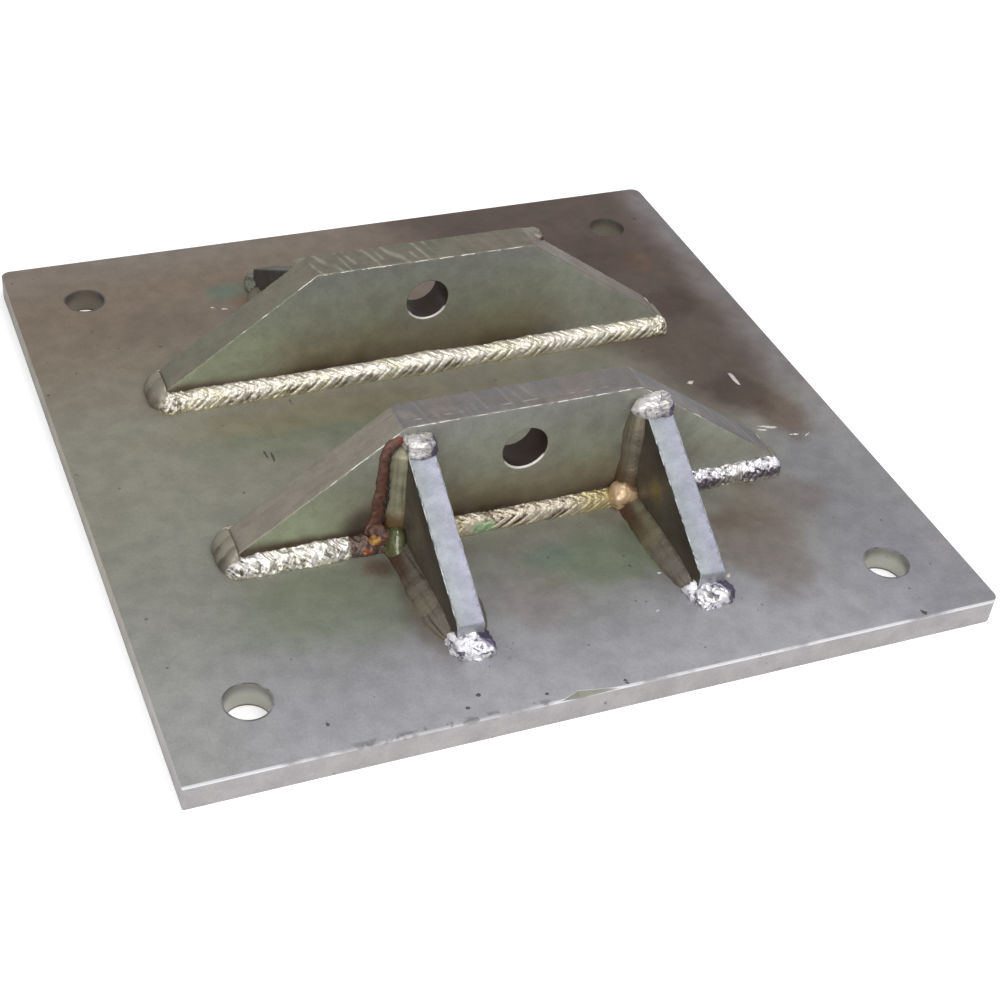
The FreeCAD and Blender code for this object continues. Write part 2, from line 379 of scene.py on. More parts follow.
def corner_line(node, along, wall, out):
    """Start, end and two legs of the corner that a weld fills, from its node's box: the corner lies on
    the low side of the box where wall and out point to higher values, and on the high side where they
    point to lower ones."""
    low, high = (np.array(corner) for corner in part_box(node))
    base = np.where(wall + out < 0, high, low)
    start, end = np.where(along != 0, low, base), np.where(along != 0, high, base)
    return start, end, np.abs(wall) @ (high - low), np.abs(out) @ (high - low)


def ripple_marks(station, pitch, seed):
    """For each station along a weld: how far it is into its ripple, from 0 to 1, and a random tone for that
    ripple. The ripples' lengths vary by a third about the pitch."""
    rng = np.random.default_rng(seed)
    span = station.max() - station.min() + 8 * pitch
    edges = station.min() - 3 * pitch + np.cumsum(pitch * rng.uniform(0.7, 1.35, int(span / pitch * 1.3)))
    tones = rng.uniform(0, 1, len(edges) + 1)
    which = np.clip(np.searchsorted(edges, station), 1, len(edges) - 1)
    return (station - edges[which - 1]) / (edges[which] - edges[which - 1]), tones[which]


def narrowing(station, tips, point, least):
    """1 along a run and down to least over the length of each tip: one less the square of the share left to
    go, to the power of point, so blunt for a half and sharper above it."""
    shrink = np.ones_like(station)
    for to_end, tip in zip((station, station[-1] - station), tips):
        if tip:
            shrink = shrink * np.clip(1 - (1 - np.clip(to_end / tip, 0, 1)) ** 2, least, 1) ** point
    return shrink[:, None]


def bead(node, along, wall, out, finish, slot, seed, pitch=4.2 * MM, depth=0.3 * MM, lead=-1.8,
         stroke=0.05 * MM, crumple=0.0, foil=0.0, foil_size=3 * MM, grit=0.05 * MM, grow=(1.08, 1.08),
         fullness=1.12, ends=(0, 0), tips=(0, 0), point=0.5, contrast=(0.3, 0.8), streak=0.0,
         foil_zone=None, burn=None, warm=None):
    """A weld run as a surface of the station along it and the angle round it. The section is a swollen
    quarter round from the wall to the floor, closed inside the corner. Ripples are saw waves along the run
    whose fronts run ahead by lead at the crest, so that they read as arrowheads, with finer strokes along
    them. Folds crumple the surface, or foil facets break it up. ends lengthen the run, tips and point are
    those of narrowing. The look is painted light and shade: a painted highlight on each ripple's ridge and
    painted shade before it, mixed with the foil facets' painted light and shade where there is foil.
    contrast is that of this painted light and shade on the upper and the lower side, streak that of long
    streaks along the run. foil_zone, burn and warm give from 0 to 1 how much of the foil and of
    each tint there is, at places along and across."""
    start, end, rise, reach = corner_line(node, along, wall, out)
    start, end = start - along * ends[0], end + along * ends[1]
    length = (end - start) @ along
    station = np.linspace(0, length, int(length / BEAD_STEP) + 2)
    row, line = station[:, None], (start + along * station[:, None])[:, None, :]
    turn = np.linspace(0, np.pi / 2, BEAD_TURNS)
    bulge_out = np.append(np.sin(turn) ** fullness, BACK_OUT)
    bulge_up = np.append(np.cos(turn) ** fullness, BACK_UP)
    middle = np.append(np.abs(turn / (np.pi / 4) - 1), np.ones(4))
    across = np.append(turn / (np.pi / 2), (1, 1, 0, 0))
    lag = lead * pitch * (1 - middle)
    step, tone = ripple_marks(row + lag, pitch, seed)
    flat = np.zeros_like(step)
    ridge = (1 - step) ** 1.3 * ease(step, 0, 0.16) * (0.6 + 0.8 * tone)
    spot = line + wall * (rise * bulge_up)[:, None] + out * (reach * bulge_out)[:, None]
    slide = np.stack((row + lag, flat + 0.25 * rise * across, flat), -1)
    fine = waves(slide, 1.5 * MM, seed + 9) * ease(middle, 1.0, 0.85)
    swell = depth * (ridge - 0.4) * (1 - 0.45 * middle ** 4) \
        + crumple * (folds(spot, 3.2 * MM, seed + 7) - 0.5) \
        + grit * waves(spot, 1.6 * MM, seed + 8) + stroke * fine
    # The look is painted light and shade: a painted highlight on each ripple's ridge, painted shade before it
    bold = contrast[0] + (contrast[1] - contrast[0]) * ease(across, 0.35, 0.65)
    bold = bold * (0.8 + 0.5 * waves(spot, 14 * MM, seed + 11))
    look = 0.62 + bold * (ridge - 0.45) + 1.6 * stroke / MM * fine \
        + streak * waves(spot * (1 - 0.94 * np.abs(along)), 1.5 * MM, seed + 12)
    at, low = flat + row + start @ along, flat + across
    if foil:
        height, _, facet_look = crumpled(spot, foil_size, seed, 0.65)
        amount = foil_zone(at, low) if foil_zone else 1.0
        swell = swell + foil * amount * height
        look = look + 0.7 * amount * (facet_look - look)
    size = 1 + 0.04 * waves(spot[:, :1], 17 * MM, seed + 5) + 0.02 * waves(spot[:, :1], 6 * MM, seed + 6)
    shrink = narrowing(station, tips, point, 0.0004)
    upwards, outwards = (np.append(part, np.zeros(4)) for part in (np.cos(turn), np.sin(turn)))
    up_part = (bulge_up * rise * grow[0] * size + swell * upwards) * shrink
    out_part = (bulge_out * reach * grow[1] * size + swell * outwards) * shrink
    points = line + up_part[..., None] * wall + out_part[..., None] * out
    piece = skin(node + "_bead", points, ripple=np.clip(look, 0, 1), tone=tone, low=low,
                 burn=burn(at, low) if burn else 0.0, warm=warm(at, low) if warm else 0.0)
    dress(piece, finish, slot, node)


def blob(name, centre, radii, finish, slot, nodes, seed, square=2.2, crumple=0.0, foil=0.0, foil_size=4 * MM,
         lumps=0.06, grit=0.05 * MM, steps=(56, 84), shade_way=None, beak=None, sag=0.0):
    """A lump of weld metal: a surface of two angles. The radius in each direction is that of a
    super-ellipsoid, 1 over the p-norm of the direction over the radii, times slow lumps, plus folds or foil
    facets that crumple it. Their look is painted light and shade: dark in the creases, light on the bulges
    and on facets turned one way. shade_way is a direction whose side gets painted shade, beak a vector along
    which a point is drawn out, and sag from 0 to 1 narrows the top and widens the bottom, as in a drop."""
    ways = all_ways(*steps)
    radius = (np.abs(ways / radii) ** square).sum(-1) ** (-1 / square)
    radius = radius * (1 - sag * 0.35 * ways[..., 2] * (1 - ways[..., 2] ** 2))
    spot = centre + ways * radius[..., None]
    # The look is painted light and shade: dark in the creases of the folds or facets, light on the bulges
    look = folds(spot, 5 * MM, seed)
    swell = crumple * (look - 0.5)
    if foil:
        height, small_height, look = crumpled(spot, foil_size, seed, 0.6)
        swell = swell + foil * (height + 0.35 * small_height)
    radius = radius * (1 + lumps * waves(spot, 7 * MM, seed + 2)) + swell \
        + grit * waves(spot, 1.5 * MM, seed + 3)
    if beak is not None:
        long = np.linalg.norm(beak)
        drawn = np.clip(1 - np.arccos(np.clip(ways @ (beak / long), -1, 1)) / 0.85, 0, 1) ** 1.4
        radius, look = radius + long * drawn, look + 0.15 * drawn
    # Painted shade on the side that shade_way points to, carried in the burn layer
    burnt = ease(ways @ shade_way, 0.55, 0.9) if shade_way is not None else 0.0
    # On a drop the lower side takes the paler toe colour: a painted reflection as a bright rim at its foot
    tone = 0.5 - 0.5 * ways[..., 2] if sag else 0.5 + 0.5 * waves(spot, 5 * MM, seed + 4)
    piece = skin(name, centre + ways * radius[..., None], ripple=look, tone=tone, low=0.0, burn=burnt,
                 warm=0.0)
    dress(piece, finish, slot, *nodes)


def smooth_path(points, passes=4):
    """A curve through a few guide points: each pass replaces every corner by two points at a quarter and
    three quarters of its edges, and the ends stay."""
    for _ in range(passes):
        quarter = points[:-1] * 0.75 + points[1:] * 0.25
        three = points[:-1] * 0.25 + points[1:] * 0.75
        inner = np.stack((quarter, three), 1).reshape(-1, points.shape[1])
        points = np.vstack((points[:1], inner, points[-1:]))
    return points


def strip(name, guide, widths, height, up, finish, slot, seed, ragged=(3.5 * MM, 0.10 * MM)):
    """A low ridge of weld metal along guide points on a face: at each station an ellipse, height above the
    face and as wide as widths say from the first end to the last, that swells a little and closes to a pole
    at both ends. up is the way out of the face, and ragged the size and the height of its unevenness."""
    path = smooth_path(guide)
    steps = np.append(0, np.cumsum(np.linalg.norm(np.diff(path, axis=0), axis=1)))
    station = np.linspace(0, steps[-1], int(steps[-1] / (0.35 * MM)))
    path = np.stack([np.interp(station, steps, path[:, i]) for i in range(3)], -1)
    ahead = np.gradient(path, axis=0)
    ahead /= np.linalg.norm(ahead, axis=1, keepdims=True)
    side = np.cross(ahead, up)[:, None]
    turn = np.linspace(0, 2 * np.pi, 28, endpoint=False)[None, :]
    width = np.linspace(widths[0], widths[1], len(station))[:, None]
    taper = narrowing(station, (widths[0], widths[0]), 0.5, 0.001)
    size = taper * (1 + 0.08 * waves(path, 14 * MM, seed)[:, None])
    points = path[:, None] + side * (np.cos(turn) * size * width / 2)[..., None] \
        + up * (np.sin(turn) * size * height)[..., None]
    rough = waves(points, ragged[0], seed + 1) * ragged[1] * taper
    points = points + side * (np.cos(turn) * rough)[..., None] + up * (np.sin(turn) * rough)[..., None]
    burnt = 0.8 * ease(station / station[-1], 0.08, 0.02)
    piece = skin(name, points, ripple=0.55 + 0.15 * waves(points, 2.5 * MM, seed + 2), tone=0.3, low=0.0,
                 burn=burnt[:, None], warm=0.0)
    dress(piece, finish, slot)


def droplets(name, centres, radii, turns, finish, slot):
    """Small closed drops, each an ellipsoid turned about z: a few dozen faces, copied to every centre."""
    rows, columns = 5, 10
    ball = np.vstack((all_ways(rows, columns).reshape(-1, 3), UP, -UP))
    cos, sin = np.cos(turns)[:, None], np.sin(turns)[:, None]
    x, y, z = np.moveaxis(ball[None] * radii[:, None], -1, 0)
    points = centres[:, None] + np.stack((x * cos - y * sin, x * sin + y * cos, z), -1)
    points = points + waves(points, 1.3 * MM, 5)[..., None] * 0.12 * MM
    quads, triangles = grid_faces(rows, columns)
    first_points = len(ball) * np.arange(len(centres))[:, None, None]
    faces = []
    for outwards in (quads[:, [0, 3, 2, 1]], triangles[:, [0, 2, 1]]):
        faces += (outwards + first_points).reshape(-1, outwards.shape[1]).tolist()
    dress(solid(name, points.reshape(-1, 3), faces), finish, slot)


# Finishes

MIX_FIRST, MIX_SECOND, MIX_RESULT = 6, 7, 2     # the colour sockets of a mix node


def linear(tint):
    """The linear colour of a display colour, three levels from 0 to 255. Four numbers
    are linear already."""
    if len(tint) == 4:
        return tint
    levels = np.array(tint) / 255
    return tuple(np.where(levels <= 0.04045, levels / 12.92, ((levels + 0.055) / 1.055) ** 2.4)) + (1.0,)


def half_way(first, second):
    """The linear colour half way between two display colours."""
    return tuple((a + b) / 2 for a, b in zip(linear(first), linear(second)))


class Value:
    """An output of a node. Arithmetic on it adds a math node and gives that node's output."""

    def __init__(self, tree, socket):
        self.tree, self.socket = tree, socket

    def __add__(self, other):
        return self.tree.calc("ADD", self, other)

    def __sub__(self, other):
        return self.tree.calc("SUBTRACT", self, other)

    def __rsub__(self, other):
        return self.tree.calc("SUBTRACT", other, self)

    def __mul__(self, other):
        return self.tree.calc("MULTIPLY", self, other)

    def __truediv__(self, other):
        return self.tree.calc("DIVIDE", self, other)

    def __abs__(self):
        return self.tree.calc("ABSOLUTE", self)


class Tree:
    """The nodes of a material or a world. Each method adds a node and returns its output as a Value."""

    def __init__(self, owner):
        owner.use_nodes = True
        self.nodes, self.links = owner.node_tree.nodes, owner.node_tree.links

    def put(self, socket, value):
        """Links a Value to a socket, or sets the socket to a plain value or a colour."""
        if isinstance(value, Value):
            self.links.new(value.socket, socket)
        else:
            socket.default_value = linear(value) if socket.type == "RGBA" else value

    def node(self, kind, output, inputs=(), **settings):
        """A node of a kind, with its settings and its inputs by name or number. Returns
        the named output."""
        node = self.nodes.new("ShaderNode" + kind)
        for key, setting in settings.items():
            setattr(node, key, setting)
        for key, value in dict(inputs).items():
            self.put(node.inputs[key], value)
        return Value(self, node.outputs[output])

    def calc(self, operation, *values):
        """A math node."""
        return self.node("Math", 0, enumerate(values), operation=operation)

    def ramp(self, value, *stops):
        """Colours at places from 0 to 1 along a value."""
        node = self.nodes.new("ShaderNodeValToRGB")
        self.put(node.inputs["Fac"], value)
        marks = node.color_ramp.elements
        for mark, (position, tint) in zip(marks, (stops[0], stops[-1])):
            mark.position, mark.color = position, linear(tint)
        for position, tint in stops[1:-1]:
            marks.new(position).color = linear(tint)
        return Value(self, node.outputs["Color"])


class Finish(Tree):
    """A procedural metal, written as a recipe of values and colours."""

    def __init__(self, name, metallic, specular=0.5, coat=0.0):
        self.material = bpy.data.materials.new(name)
        super().__init__(self.material)
        self.shader = self.nodes["Principled BSDF"]
        self.shader.inputs["Metallic"].default_value = metallic
        self.shader.inputs["Specular IOR Level"].default_value = specular
        self.shader.inputs["Coat Weight"].default_value = coat
        self.shader.inputs["Coat Roughness"].default_value = 0.12
        self.place = self.node("TexCoord", "Object")

    def done(self, colour, roughness, normal):
        """The finished material."""
        for key, value in (("Base Color", colour), ("Roughness", roughness), ("Normal", normal)):
            self.put(self.shader.inputs[key], value)
        return self.material

    def noise(self, scale, detail=3.0, rough=0.55, distortion=0.0, stretch=None):
        """Noise with the given number of features per metre, stretched by scaling its coordinates."""
        at = self.place
        if stretch:
            at = self.node("Mapping", "Vector", {"Vector": at, "Scale": stretch})
        inputs = {"Vector": at, "Scale": scale, "Detail": detail, "Roughness": rough,
                  "Distortion": distortion}
        return self.node("TexNoise", "Fac", inputs)

    def layer(self, name):
        """A value that the mesh carries."""
        return self.node("Attribute", "Fac", attribute_name=name)

    def axis(self, number):
        """One object coordinate: 0 for x, 1 for y, 2 for z."""
        return self.node("SeparateXYZ", number, {0: self.place})

    def level(self):
        """How level the surface is: 1 where it faces up or down, 0 on upright faces."""
        return abs(self.node("SeparateXYZ", 2, {0: self.node("NewGeometry", "Normal")}))

    def between(self, value, low, high, start=0.0, end=1.0):
        """Eases from start to end as the value goes from low to high."""
        inputs = {"Value": value, "From Min": low, "From Max": high, "To Min": start, "To Max": end}
        return self.node("MapRange", "Result", inputs, interpolation_type="SMOOTHSTEP")

    def blotches(self, amount, scale, detail, rough, *spread):
        """Noise that eases from nothing to an amount over a spread of its values."""
        return self.between(self.noise(scale, detail, rough), *spread, 0.0, amount)

    def distance(self, wide, deep):
        """The length of the hypotenuse over two values."""
        squares = (self.calc("POWER", abs(value), 2.0) for value in (wide, deep))
        return self.calc("SQRT", self.calc("ADD", *squares))

    def patch(self, x, y, half_x, half_y):
        """1 inside an oval on the plate with ragged soft borders, 0 outside it."""
        far = self.distance((self.axis(0) - x) / half_x, (self.axis(1) - y) / half_y)
        return self.between(far + (self.noise(45.0, 4) - 0.5) * 2.0, 1.35, 0.45)

    def patch_at(self, centre, radius, ragged=2.4):
        """1 at a point, fading to 0 at a distance of about the radius, with a ragged border."""
        far = self.node("VectorMath", "Value", {0: self.place, 1: centre}, operation="DISTANCE")
        return self.between(far + (self.noise(420, 3) - 0.5) * (ragged * radius), radius, 0.3 * radius)

    def mix(self, amount, first, second, how="MIX"):
        """The second colour over the first, by amount."""
        return self.node("Mix", MIX_RESULT, {0: amount, MIX_FIRST: first, MIX_SECOND: second},
                         data_type="RGBA", blend_type=how)

    def bump(self, height, depth, below=None):
        """A bump of that depth in metres, on top of another."""
        inputs = {"Strength": 1.0, "Distance": depth, "Height": height}
        if below is not None:
            inputs["Normal"] = below
        return self.node("Bump", "Normal", inputs)

    def grain(self, colour, coarse=130.0):
        """Mill scale: soft blotches and a fine speckle over a colour."""
        both = self.between(self.noise(coarse, 5, 0.6), 0.3, 0.7, 0.90, 1.08) \
            * self.between(self.noise(1100.0, 2), 0.3, 0.7, 0.95, 1.05)
        return self.mix(1.0, colour, self.node("CombineColor", 0, {0: both, 1: both, 2: both}), "MULTIPLY")

    def surface(self, coarse, depth, fine, fine_depth):
        """Two bumps, each given by its noise's scale and its depth."""
        return self.bump(self.noise(fine, 2), fine_depth, self.bump(self.noise(coarse, 2), depth))


def plate_steel():
    """Hot-rolled plate: pale at the front edge, olive in the middle and brown to the rear, with heat tints,
    a painted highlight along the front arris with burnt spots, and darker drilled holes."""
    f = Finish("plate_steel", 0.45, 0.4)
    drift = (f.noise(14, 4, 0.6) - 0.5) * 0.05
    x, y, z = f.axis(0) + drift, f.axis(1) + drift, f.axis(2)
    depth = (y + PLATE_HALF) / (2 * PLATE_HALF)
    colour = f.ramp(depth, (0.0, (168, 167, 171)), (0.07, (160, 159, 163)), (0.15, (146, 145, 144)),
                    (0.24, (136, 135, 125)), (0.42, (144, 142, 128)), (0.60, (144, 141, 127)),
                    (0.74, (137, 126, 110)), (0.90, (133, 118, 102)), (1.0, (140, 129, 118)))
    pale_left = f.between(x, -0.10, -0.15) * f.between(y, -0.02, -0.10)
    colour = f.mix(pale_left * 0.7, colour, (159, 158, 152))
    rusty_right = f.between(x + y * 0.55, 0.070, 0.120) * f.between(y, -0.045, 0.01)
    colour = f.mix(rusty_right * 0.92, colour, (95, 80, 72))
    bluish_right = f.between(x, 0.095, 0.125) * f.between(y, -0.01, -0.06)
    colour = f.mix(bluish_right * 0.7, colour, (139, 138, 145))
    right_edge = f.between(f.axis(0) + drift * 0.35, 0.130, 0.148) \
        * f.between(f.noise(30, 3), 0.3, 0.6, 0.55, 1.0)
    colour = f.mix(right_edge * 0.75, colour, (152, 149, 150))
    for *oval, amount, tint in HEAT_PATCHES:
        colour = f.mix(f.patch(*(length * MM for length in oval)) * amount, colour, tint)
    level = f.level()
    upright = f.between(level, 0.75, 0.25)
    side = f.ramp(depth, (0.0, (166, 162, 162)), (0.35, (146, 139, 126)), (1.0, (126, 117, 103)))
    colour = f.grain(f.mix(upright, colour, side))
    colour = holes(f, colour, z, upright, depth)
    # Painted highlight along the bevelled arrises, broken up at random and strongest at the front
    arris = f.between(level, 0.985, 0.93) * f.between(level, 0.15, 0.4)
    painted_highlight = f.between(f.noise(60, 3), 0.40, 0.52) * f.between(f.axis(1), -147.5 * MM, -149.0 * MM, 0.35, 1.0)
    colour = f.mix(arris * painted_highlight * f.between(z, 4 * MM, 6 * MM), colour, (226, 225, 228))
    colour = front_edge_marks(f, colour, level)
    dots = f.between(f.noise(330, 1, 0.4), 0.775, 0.80)
    colour = f.mix(dots * 0.55, colour, (70, 66, 62))
    rough = f.between(f.noise(70, 5, 0.65), 0.3, 0.7, 0.40, 0.56)
    return f.done(colour, rough, f.surface(28, 0.5 * MM, 1400, 0.035 * MM))


def holes(f, colour, z, upright, depth):
    """The drilled walls, pale in front and brown to the rear, with a dark line round each mouth."""
    far = f.distance(abs(f.axis(0)) - BOLT_SPREAD, abs(f.axis(1)) - BOLT_SPREAD)
    wall = f.ramp(depth, (0.0, (196, 196, 187)), (0.5, (146, 140, 125)), (1.0, (122, 112, 99)))
    wall = f.mix(f.between(z, 4.8 * MM, 9.2 * MM, 0.0, 0.55), wall, (84, 78, 76))
    wall = f.mix(f.between(z, 1.0 * MM, 0.4 * MM, 0.0, 0.8), wall, (88, 76, 62))
    inside = f.between(far, BOLT_RADIUS + 1.5 * MM, BOLT_RADIUS + 0.8 * MM) * upright
    colour = f.mix(inside, colour, wall)
    mouth = f.between(abs(far - (BOLT_RADIUS + 0.3 * MM)), 0.50 * MM, 0.2 * MM) * (1.0 - upright)
    return f.mix(mouth * f.between(f.noise(160, 3), 0.38, 0.60, 0.20, 0.90), colour, (88, 86, 84))


def front_edge_marks(f, colour, level):
    """A painted highlight line and burnt spots along the front arris, and the olive scoop where
    the torch slipped."""
    x, y, z = (f.axis(number) for number in range(3))
    burnt_stretch = f.between(x, -100 * MM, -90 * MM) * f.between(x, -24 * MM, -28 * MM)
    # Painted highlight: a bright line along the front arris, weaker along the burnt stretch
    arris = f.between(y, -149.1 * MM, -149.4 * MM) * f.between(z, 9.1 * MM, 9.4 * MM)
    painted_highlight = f.between(f.noise(55, 3), 0.36, 0.50, 0.15, 1.0) * f.between(burnt_stretch, 0.0, 1.0, 1.0, 0.45)
    colour = f.mix(arris * painted_highlight, colour, (224, 223, 226))
    near_edge = f.between(y, -146.8 * MM, -148.8 * MM) * f.between(z, 8.5 * MM, 9.5 * MM)
    spots = burnt_stretch * near_edge * f.between(f.noise(170, 3, 0.6), 0.50, 0.60)
    colour = f.mix(spots * 0.5, colour, (84, 81, 79))
    scoop = f.between(x, -23.6 * MM, -22.8 * MM) * f.between(x, 1.5 * MM, -6.0 * MM) \
        * f.between(z, 9.98 * MM, 9.90 * MM) * f.between(y, -146.4 * MM, -146.9 * MM)
    return f.mix(scoop * f.between(level, 0.3, 0.6) * 0.9, colour, (122, 121, 108))


# Heat tints on the plate: x, y and the half widths of an oval in millimetres, the strength and the colour
GREEN, TEAL, STRAW, ROSE = (118, 130, 104), (104, 128, 114), (150, 136, 100), (138, 122, 118)
BROWN, RUST, SOOT = (106, 88, 74), (128, 96, 70), (76, 60, 52)
HEAT_PATCHES = (
    (20, -88, 34, 16, 0.65, GREEN), (4, -82, 12, 10, 0.5, TEAL), (-78, -86, 36, 20, 0.5, GREEN),
    (-52, 10, 50, 14, 0.45, GREEN), (52, -88, 12, 20, 0.5, BROWN), (-58, -72, 7, 6, 0.8, BROWN),
    (-52, -100, 6, 26, 0.45, BROWN), (80, -100, 16, 30, 0.5, BROWN), (100, -78, 30, 14, 0.4, BROWN),
    (-10, -100, 16, 16, 0.35, ROSE), (-40, 20, 70, 10, 0.35, STRAW), (128, -30, 10, 16, 0.75, BROWN),
    (-20, 95, 80, 14, 0.3, ROSE), (-62, 112, 10, 7, 0.6, TEAL), (-58, 104, 6, 6, 0.4, RUST),
    (-100, 92, 30, 16, 0.3, BROWN), (122.5, 89.6, 6, 7, 0.3, RUST), (124, 55, 12, 12, 0.6, SOOT),
    (119, -12, 12, 14, 0.6, SOOT), (108, 100, 14, 14, 0.4, SOOT))


def lug_steel(name, plateau, slope, slope_right):
    """Lug plate: olive faces, browned by heat above the weld with a painted contact shadow along the bead,
    scorched beside the burnt ridge, and a flame-cut edge with its own colours on the level top and on each
    slope, and a painted highlight along the arris."""
    f = Finish(name, 0.4, 0.35)
    x, z = f.axis(0), f.axis(2) + (f.noise(26, 3, 0.6) - 0.5) * 0.012
    # The darkest stops, just above the bead, are a painted contact shadow; the brown above them is heat tint
    colour = f.ramp((z - 0.010) / 0.050, (0.0, (68, 55, 42)), (0.12, (76, 63, 48)), (0.17, (108, 96, 74)),
                    (0.30, (138, 130, 106)), (0.50, (146, 147, 128)), (0.8, (147, 149, 136)),
                    (1.0, (142, 143, 136)))
    green_left = f.between(x, -0.045, -0.080) * f.between(z, 0.055, 0.02) * f.between(z, 0.0160, 0.0205)
    colour = f.mix(green_left * 0.8, colour, (168, 178, 150))
    scorch = f.patch_at(np.array((-59, -56.5, 19)) * MM, 13 * MM, 0.15)
    colour = f.mix(scorch * 0.85, colour, (66, 52, 43))
    pale_right = f.between(x, 0.040, 0.075)
    colour = f.mix(pale_right * 0.65, colour, (176, 180, 168))
    cloud = f.between(f.noise(40, 4, 0.6, 0.6), 0.42, 0.62)
    colour = f.mix(cloud * 0.25, colour, (120, 110, 104))
    edge = f.mix(f.between(x, 0.030, 0.050), slope, slope_right)
    edge = f.mix(f.between(f.axis(2), 58.8 * MM, 59.4 * MM), edge, plateau)
    edge = f.mix(f.blotches(0.35, 45, 4, 0.6, 0.42, 0.62), edge, (142, 126, 114))
    streaks = f.noise(420, 3, 0.6, stretch=(0.22, 1, 0.22))
    edge = f.mix(f.between(streaks, 0.5, 0.7, 0.0, 0.22), edge, (92, 86, 76))
    edge = f.mix(f.layer("drag") * 0.55, edge, (168, 165, 148))
    colour = f.mix(f.layer("rim"), colour, edge)
    colour = f.mix(f.between(f.layer("bore"), 0.4, 0.6), colour, (66, 54, 47))
    # Painted highlight along the arris, from the arris layer
    arris_highlight = f.between(f.layer("arris"), 0.35, 0.8)
    colour = f.mix(arris_highlight, f.grain(colour, 170.0), (216, 212, 202))
    rough = f.between(f.noise(90, 4, 0.6), 0.3, 0.7, 0.40, 0.55)
    return f.done(colour, rough, f.surface(60, 0.25 * MM, 1500, 0.03 * MM))


def gusset_steel(name, slope_left, slope_right, toe_face, highlight_strength, roughness):
    """Gusset plate: dark olive faces that darken up to the slope, a slope that goes from one colour to
    another across its width, a dull toe, and a painted highlight along the arris, as strong as
    highlight_strength."""
    f = Finish(name, 0.5, 0.4)
    cloud = f.noise(45, 4, 0.6, 0.5)
    colour = f.ramp(cloud, (0.3, (92, 84, 76)), (0.5, (108, 101, 90)), (0.68, (122, 116, 98)))
    out = abs(f.axis(1) - LUG_MIDDLE) - LUG_OUTER
    below_slope = GUSSET_TOP - out * GUSSET_FALL - f.axis(2)
    dark = f.between(below_slope, 14 * MM, 1 * MM) * f.between(f.noise(70, 3), 0.3, 0.7, 0.7, 1.0)
    colour = f.mix(dark * 0.75, colour, (54, 50, 48))
    near_plate = f.between(f.axis(2), 30 * MM, 12 * MM)
    colour = f.mix(near_plate * 0.4, colour, (86, 74, 60))
    yellow = f.patch_at(np.array((44.5, -77.5, 27.3)) * MM, 6 * MM)
    colour = f.mix(yellow * 0.6, colour, (142, 124, 72))
    side = f.layer("side")
    ground = f.ramp(side, (0.05, slope_left), (0.45, half_way(slope_left, slope_right)), (0.95, slope_right))
    ground = f.mix(f.blotches(0.25, 55, 4, 0.6, 0.35, 0.65), ground, slope_left)
    scrape = f.between(f.noise(260, 3, 0.6, stretch=(1, 4.5, 4.5)), 0.62, 0.74, 0.0, 0.5)
    ground = f.mix(scrape * f.between(side, 0.5, 0.95), ground, (172, 172, 184))
    toe = f.between(f.axis(2), 19.0 * MM, 18.2 * MM)
    colour = f.mix(f.layer("rim"), colour, f.mix(toe, ground, toe_face))
    # Painted highlight along the arris, as strong as highlight_strength
    arris_highlight = f.between(f.layer("arris"), 0.25, 0.7) * highlight_strength
    colour = f.mix(arris_highlight, f.grain(colour, 210.0), (236, 236, 240))
    rough = f.between(f.noise(120, 4), 0.3, 0.7, *roughness)
    return f.done(colour, rough, f.surface(90, 0.03 * MM, 1700, 0.03 * MM))


def weld_metal(name, crest, valley, burn_and_shade_tint, toe, roughness=(0.26, 0.42), metallic=0.5, bump_depth=0.10 * MM,
               coat=0.0, shadow=0.14, toned=0.3, stains=()):
    """Weld metal: a painted highlight on the crests and painted shade in the valleys between the ripples,
    more painted shade on the lower side by shadow, a thin line of the toe's colour along the foot, and a
    burnt colour where the run was hot, which is also the painted shade on lumps' shaded sides. toned is how
    much single ripples take the toe's colour. Each of the stains is a place, a radius and a colour. The bump
    is a fine crumple on top of the modelled ripples."""
    f = Finish(name, metallic, 0.5, coat)
    fine = f.noise(620, 4, 0.6, 0.4)
    # Painted highlight on the crests and painted shade in the valleys, from the ripple layer, more on the
    # lower side
    height = f.layer("ripple") * 0.8 + fine * 0.2
    low = f.layer("low")
    sunk = height - f.between(low, 0.40, 0.75, 0.0, shadow)
    colour = f.ramp(sunk, (0.20, valley), (0.38, half_way(valley, crest)), (0.56, crest))
    foot = f.between(low, 0.80, 0.97) * f.between(f.noise(110, 3), 0.35, 0.6, 0.2, 1.0)
    colour = f.mix(foot * 0.7, colour, toe)
    colour = f.mix(f.between(f.layer("tone"), 0.4, 1.0) * toned, colour, toe)
    colour = f.mix(f.layer("warm") * f.between(height, 0.2, 0.6, 0.5, 0.95), colour, toe)
    # Burnt colour where a run was hot, and painted shade on the shaded sides of lumps
    colour = f.mix(f.between(f.layer("burn") + (fine - 0.5) * 0.3, 0.15, 0.85), colour, burn_and_shade_tint)
    for place, radius, tint in stains:
        colour = f.mix(f.patch_at(place, radius) * f.between(fine, 0.3, 0.5, 0.4, 0.95), colour, tint)
    return f.done(colour, f.between(fine, 0.3, 0.7, *roughness), f.bump(f.noise(900, 3, 0.6), bump_depth))


SLAG = ((np.array((-57.4, -62.8, 15.2)) * MM, 2.6 * MM, (186, 138, 74)),
        (np.array((-60.2, -65.8, 12.2)) * MM, 3.2 * MM, (178, 96, 62)))
DULL = {"roughness": (0.38, 0.54), "bump_depth": 0.05 * MM, "shadow": 0.05}
BRIGHT = {"roughness": (0.24, 0.4), "bump_depth": 0.08 * MM}
